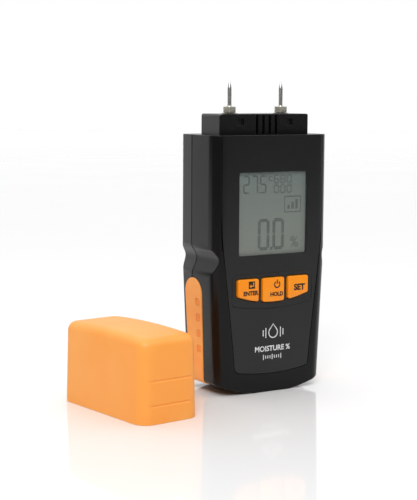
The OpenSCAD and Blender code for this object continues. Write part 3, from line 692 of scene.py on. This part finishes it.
def makePanelPrint():
    y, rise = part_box("face_panel")[0].y + ink["sunk"] * mm, ink["rise"] * mm
    plan = panelPrint
    bm = bmesh.new()
    # drop: an arc below, and two straight flanks that meet above
    drop = arcPoints(plan["dropX"] * mm, plan["dropZ"] * mm, plan["dropR"] * mm, 145, 395, 20)
    drop.append((plan["dropX"] * mm, (plan["dropZ"] + plan["dropTop"]) * mm))
    ribbon(bm, drop, plan["line"] * mm, y, rise, closed=True)
    for side in (-1, 1):
        for i in range(2):
            x = (plan["dropX"] + side * (4.2 + 1.5 * i)) * mm
            reach = 2.4 - 0.9 * i
            ribbon(bm, [(x, (plan["dropZ"] - reach) * mm), (x, (plan["dropZ"] + reach) * mm)],
                   plan["line"] * mm, y, rise)
    wordMesh(bm, "MOISTURE %", 0.3 * mm, plan["nameZ"] * mm, plan["capitals"] * mm, y, rise,
             ink["panelWeight"])
    for i in range(plan["ticks"]):
        x = (0.2 + (i - (plan["ticks"] - 1) / 2) * plan["tickGap"]) * mm
        reach = 1.25 if i % 4 == 0 else 0.75
        ribbon(bm, [(x, (plan["scaleZ"] - reach) * mm), (x, (plan["scaleZ"] + reach) * mm)], 0.45 * mm, y, rise)
    finishPiece("panelPrint", bm, printInk, "meter")


makePanelPrint()
print("print made")


# ---------- needles and clamp nuts

needle = {"shankR": 1.5, "pinR": 1.05, "collarR": 1.9, "collarLow": 9.6, "collarHigh": 10.0,
          "shankTop": 10.9, "straight": 8.0, "tipSteps": 8}
nut = {"afMm": 5.8, "boreR": 1.55, "wellR": 2.05, "wellDeep": 2.5, "steps": 24}


def makeNeedle(side):
    node = side + "_pin"
    low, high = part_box(node)
    centre = ((low.x + high.x) / 2, (low.y + high.y) / 2)
    plan = needle
    shank, pin = plan["shankR"], plan["pinR"]
    top = plan["shankTop"]
    profile = [(0, 0), (shank, 0), (shank, plan["collarLow"]), (plan["collarR"], plan["collarLow"]),
               (plan["collarR"], plan["collarHigh"]), (shank, plan["collarHigh"]), (shank, top - 0.25),
               (shank - 0.1, top - 0.08), (pin + 0.12, top), (pin, top + 0.1), (pin, top + plan["straight"])]
    tip = (high.z - low.z) / mm - top - plan["straight"]
    for i in range(1, plan["tipSteps"] + 1):      # the tip is ground to a slightly full cone
        t = i / plan["tipSteps"]
        profile.append((pin * (1 - t ** 1.35), top + plan["straight"] + tip * t))
    bm = bmesh.new()
    turned(bm, [(r * mm, low.z + z * mm) for r, z in profile], centre)
    finishPiece(side + "Needle", bm, needleSteel, node, [node])


def makeNut(side):
    node = side + "_nut"
    low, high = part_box(node)
    centre = Vector(((low.x + high.x) / 2, (low.y + high.y) / 2, 0))
    plan = nut
    bm = bmesh.new()

    def ring(radius, z, steps):
        made = bmesh.ops.create_circle(bm, segments=steps, radius=radius * mm)["verts"]
        bmesh.ops.translate(bm, verts=made, vec=centre + Vector((0, 0, z)))
        return [e for e in bm.edges if all(v in made for v in e.verts)]

    corner = plan["afMm"] / sqrt(3)
    wellTop = low.z + plan["wellDeep"] * mm
    stack = [ring(corner, low.z, 6), ring(corner, high.z, 6), ring(plan["boreR"], high.z, plan["steps"]),
             ring(plan["boreR"], wellTop, plan["steps"]), ring(plan["wellR"], wellTop, plan["steps"]),
             ring(plan["wellR"], low.z, plan["steps"])]
    for inner, outer in zip(stack, stack[1:] + stack[:1]):
        bmesh.ops.bridge_loops(bm, edges=inner + outer)
    # the hexagon's first corner points along +X, as the CAD nut's does
    first = max((v.co - centre for v in bm.verts), key=lambda p: Vector((p.x, p.y, 0)).length)
    lean = atan(first.y / first.x) if first.x else pi / 2
    turn = round(lean / radians(60)) * radians(60) - lean
    bmesh.ops.rotate(bm, verts=bm.verts, cent=centre, matrix=Matrix.Rotation(turn, 3, "Z"))
    bmesh.ops.recalc_face_normals(bm, faces=bm.faces)
    softEdges(finishPiece(side + "Nut", bm, nickelPlate, node, [node]), 0.22, 45)


for sideName in ("left", "right"):
    makeNeedle(sideName)
    makeNut(sideName)
print("needles and nuts made")


# ---------- cap

capShape = {
    "turn": 96.5, "halfW": 32.5, "halfD": 15.9, "cornerR": 6.5, "draft": 0.8, "endH": 37.2, "crown": 1.0,
    "topR": 4.0, "wall": 1.8, "cornerSteps": 8, "longSteps": 20, "shortSteps": 6, "filletSteps": 7,
    "grooveZ": (8.0, 18.8), "grooveHalf": 0.7, "grooveDeep": 0.5, "grooveHalfW": 11.5,
    "lipZ": 1.5, "shoulderZ": 24, "topInsets": (8, 11, 14),
}
capRibs = {"recessX": 13.8, "width": 1.6, "low": 2, "high": 14, "frontFace": -8.4, "rearFace": 9.6,
           "endFace": 25.5, "endY": 5, "shiftY": 0.6, "sink": 1.3, "nubR": 0.8, "nubZ": 5.95}


def capPlan(inset):
    # points of the rounded rectangle, moved inwards by inset
    plan = capShape
    radius = max(plan["cornerR"] - inset, 0.4)
    reachX, reachY = plan["halfW"] - inset - radius, plan["halfD"] - inset - radius
    points = []
    for quarter, (sx, sy) in enumerate(((1, 1), (-1, 1), (-1, -1), (1, -1))):
        for i in range(plan["cornerSteps"] + 1):
            a = radians(90 * (quarter + i / plan["cornerSteps"]))
            points.append((sx * reachX + radius * cos(a), sy * reachY + radius * sin(a)))
        steps = plan["longSteps"] if quarter % 2 == 0 else plan["shortSteps"]
        nx, ny = ((-1, 1), (-1, -1), (1, -1), (1, 1))[quarter]
        start = points[-1]
        end = (nx * reachX, start[1]) if quarter % 2 == 0 else (start[0], ny * reachY)
        for i in range(1, steps):
            t = i / steps
            points.append((start[0] + (end[0] - start[0]) * t, start[1] + (end[1] - start[1]) * t))
    return points


def capTop(x):
    reach = capShape["halfW"] - capShape["draft"] - capShape["topR"]
    return capShape["endH"] + capShape["crown"] * (1 - min(1, abs(x) / reach) ** 2)


def makeCap():
    plan = capShape
    low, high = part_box("cap")
    centre = (low + high) / 2      # the cap is the same on all four sides, so its box's middle is its own
    bm = bmesh.new()
    rings = []
    sideTop = plan["endH"] - plan["topR"]
    heights = [0, plan["lipZ"]]
    for z in plan["grooveZ"]:
        heights += [z - 2 * plan["grooveHalf"], z - plan["grooveHalf"], z, z + plan["grooveHalf"],
                    z + 2 * plan["grooveHalf"]]
    heights += [plan["shoulderZ"], sideTop]
    for z in heights:
        t = z / sideTop
        ringPoints = []
        for x, y in capPlan(plan["draft"] * t):
            cut = plan["grooveDeep"] if z in plan["grooveZ"] and abs(y) < plan["grooveHalfW"] \
                and abs(x) > plan["halfW"] - 2 else 0
            lift = t * (capTop(x) - plan["endH"]) if z > plan["grooveZ"][1] + 2 else 0
            ringPoints.append((x - cut * (1 if x > 0 else -1), y, z + lift))
        rings.append(ringPoints)
    for i in range(1, plan["filletSteps"] + 1):
        a = radians(90 * i / plan["filletSteps"])
        inset = plan["draft"] + plan["topR"] * (1 - cos(a))
        rings.append([(x, y, capTop(x) - plan["topR"] * (1 - sin(a))) for x, y in capPlan(inset)])
    for inset in plan["topInsets"]:
        rings.append([(x, y, capTop(x)) for x, y in capPlan(inset)])
    ridge = plan["halfW"] - plan["halfD"]
    ridgeLine = [max(-ridge, min(ridge, x)) for x, y in capPlan(plan["topInsets"][-1])]
    rings.append([(x, 0, capTop(x)) for x in ridgeLine])
    loops = []
    for ringPoints in rings:
        verts = [bm.verts.new((x * mm, y * mm, z * mm)) for x, y, z in ringPoints]
        loops.append([bm.edges.new(pair) for pair in zip(verts, verts[1:] + verts[:1])])
    for lower, upper in zip(loops, loops[1:]):
        bmesh.ops.bridge_loops(bm, edges=lower + upper)
    bmesh.ops.remove_doubles(bm, verts=bm.verts, dist=0.01 * mm)
    bmesh.ops.recalc_face_normals(bm, faces=bm.faces)
    bmesh.ops.solidify(bm, geom=bm.faces[:], thickness=plan["wall"] * mm)
    addRibs(bm)
    bmesh.ops.rotate(bm, verts=bm.verts, cent=(0, 0, 0), matrix=Matrix.Rotation(radians(plan["turn"]), 3, "Z"))
    bmesh.ops.translate(bm, verts=bm.verts, vec=(centre.x, centre.y, low.z))
    softEdges(finishPiece("needleCap", bm, capPolypropylene, "cap", ["cap"]), 0.25, 50)


def addRibs(bm):
    # ribs that guide the cap onto the pin head
    rib = capRibs
    half = rib["width"] / 2
    outerY, outerX = capShape["halfD"] - rib["sink"], capShape["halfW"] - rib["sink"]
    for side in (-1, 1):
        x = side * rib["recessX"]
        spans = [((x - half, -outerY), (x + half, rib["frontFace"])),
                 ((x - half, rib["rearFace"]), (x + half, outerY))]
        for y in (-rib["endY"], rib["endY"]):
            edge = sorted((side * rib["endFace"], side * outerX))
            spans.append(((edge[0], y + rib["shiftY"] - half), (edge[1], y + rib["shiftY"] + half)))
        for (x0, y0), (x1, y1) in spans:
            box(bm, (x0 * mm, y0 * mm, rib["low"] * mm), (x1 * mm, y1 * mm, rib["high"] * mm))
        nub = bmesh.ops.create_cone(bm, cap_ends=True, segments=16, radius1=rib["nubR"] * mm,
                                    radius2=rib["nubR"] * mm, depth=(rib["width"] - 0.02) * mm)["verts"]
        bmesh.ops.rotate(bm, verts=nub, cent=(0, 0, 0), matrix=Matrix.Rotation(pi / 2, 3, "Y"))
        bmesh.ops.translate(bm, verts=nub, vec=(x * mm, rib["frontFace"] * mm, rib["nubZ"] * mm))


makeCap()
print("cap made")


# ---------- power: cells, springs and plates

cell = {"radius": 5.25, "buttonR": 1.9, "button": 1.0, "roll": 0.6, "band": 0.72}
spring = {"turns": 5, "wireR": 0.36, "coilR": 3, "plate": 0.4, "stepsPerTurn": 20}


def makeCell(i):
    node = "battery_%d" % i
    low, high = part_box(node)
    centre = ((low.x + high.x) / 2, (low.y + high.y) / 2)
    length = high.z - low.z
    body = length - cell["button"] * mm
    roll = cell["roll"] * mm
    radius = cell["radius"] * mm
    profile = [(0, 0), (radius - 1.6 * mm, 0), (radius - 1.5 * mm, 0.1 * mm), (radius - roll, 0.1 * mm),
               (radius - roll * 0.3, roll * 0.3), (radius, roll), (radius, body * cell["band"]),
               (radius, body - roll), (radius - roll * 0.3, body - roll * 0.3), (radius - roll, body),
               (cell["buttonR"] * mm, body), (cell["buttonR"] * mm, length - 0.2 * mm),
               (cell["buttonR"] * mm - 0.2 * mm, length), (0, length)]
    flip = i == 2      # the middle cell stands on its button
    if flip:
        profile = [(r, length - z) for r, z in profile]
    bm = bmesh.new()
    turned(bm, [(r, low.z + z) for r, z in profile], centre)
    for face in bm.faces:
        z = face.calc_center_median().z - low.z
        z = length - z if flip else z
        outer = max((v.co - Vector((*centre, v.co.z))).length for v in face.verts) > radius - roll * 1.2
        face.material_index = 1 if not outer else (2 if z > body * cell["band"] else 0)
    finishPiece("cell%d" % i, bm, [sleeveFilm, springNickel, turnedBrass], "meter", [node])


def makeSpring(i):
    node = "battery_spring_%d" % i
    low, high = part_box(node)
    plan = spring
    centre = Vector(((low.x + high.x) / 2, (low.y + high.y) / 2, 0))
    flip = i == 2
    plateLow = high.z - plan["plate"] * mm if flip else low.z
    bm = bmesh.new()
    box(bm, (low.x, low.y, plateLow), (high.x, high.y, plateLow + plan["plate"] * mm))
    wire = plan["wireR"] * mm
    start = (low.z + wire) if flip else (low.z + plan["plate"] * mm + wire)
    rise = (high.z - low.z) - plan["plate"] * mm - 2 * wire
    made = bmesh.ops.create_circle(bm, segments=10, radius=wire)["verts"]
    bmesh.ops.rotate(bm, verts=made, cent=(0, 0, 0), matrix=Matrix.Rotation(pi / 2, 3, "X"))
    bmesh.ops.translate(bm, verts=made, vec=centre + Vector((plan["coilR"] * mm, 0, start)))
    loop = made + [e for e in bm.edges if all(v in made for v in e.verts)]
    steps = plan["turns"] * plan["stepsPerTurn"]
    bmesh.ops.spin(bm, geom=loop, cent=centre, axis=(0, 0, 1), dvec=(0, 0, rise / steps),
                   angle=2 * pi * plan["turns"], steps=steps, use_merge=False)
    bmesh.ops.holes_fill(bm, edges=[e for e in bm.edges if e.is_boundary])
    bmesh.ops.recalc_face_normals(bm, faces=bm.faces)
    finishPiece("cellSpring%d" % i, bm, springNickel, "meter", [node])


for number in (1, 2, 3):
    makeCell(number)
    makeSpring(number)
    shell("battery_plate_%d" % number, "cellPlate%d" % number, springNickel, 0.08)
print("cells made")


# ---------- inner parts that keep their CAD shape

innerFinish = {
    "lcd_frame": frameAbs, "light_guide": guideAcrylic, "lcd_connector": connectorSilicone,
    "circuit_board": boardEpoxy, "controller_chip": chipEpoxy, "left_socket": turnedBrass,
    "right_socket": turnedBrass, "left_strap": turnedBrass, "right_strap": turnedBrass,
    "temperature_sensor": sensorEpoxy, "board_screws": zincSteel,
    "key_switch_1": switchNylon, "key_switch_2": switchNylon, "key_switch_3": switchNylon,
}

for node, material in innerFinish.items():
    mesh = cadNodes[node].data
    mesh.materials.clear()
    mesh.materials.append(material)

print("scene complete")
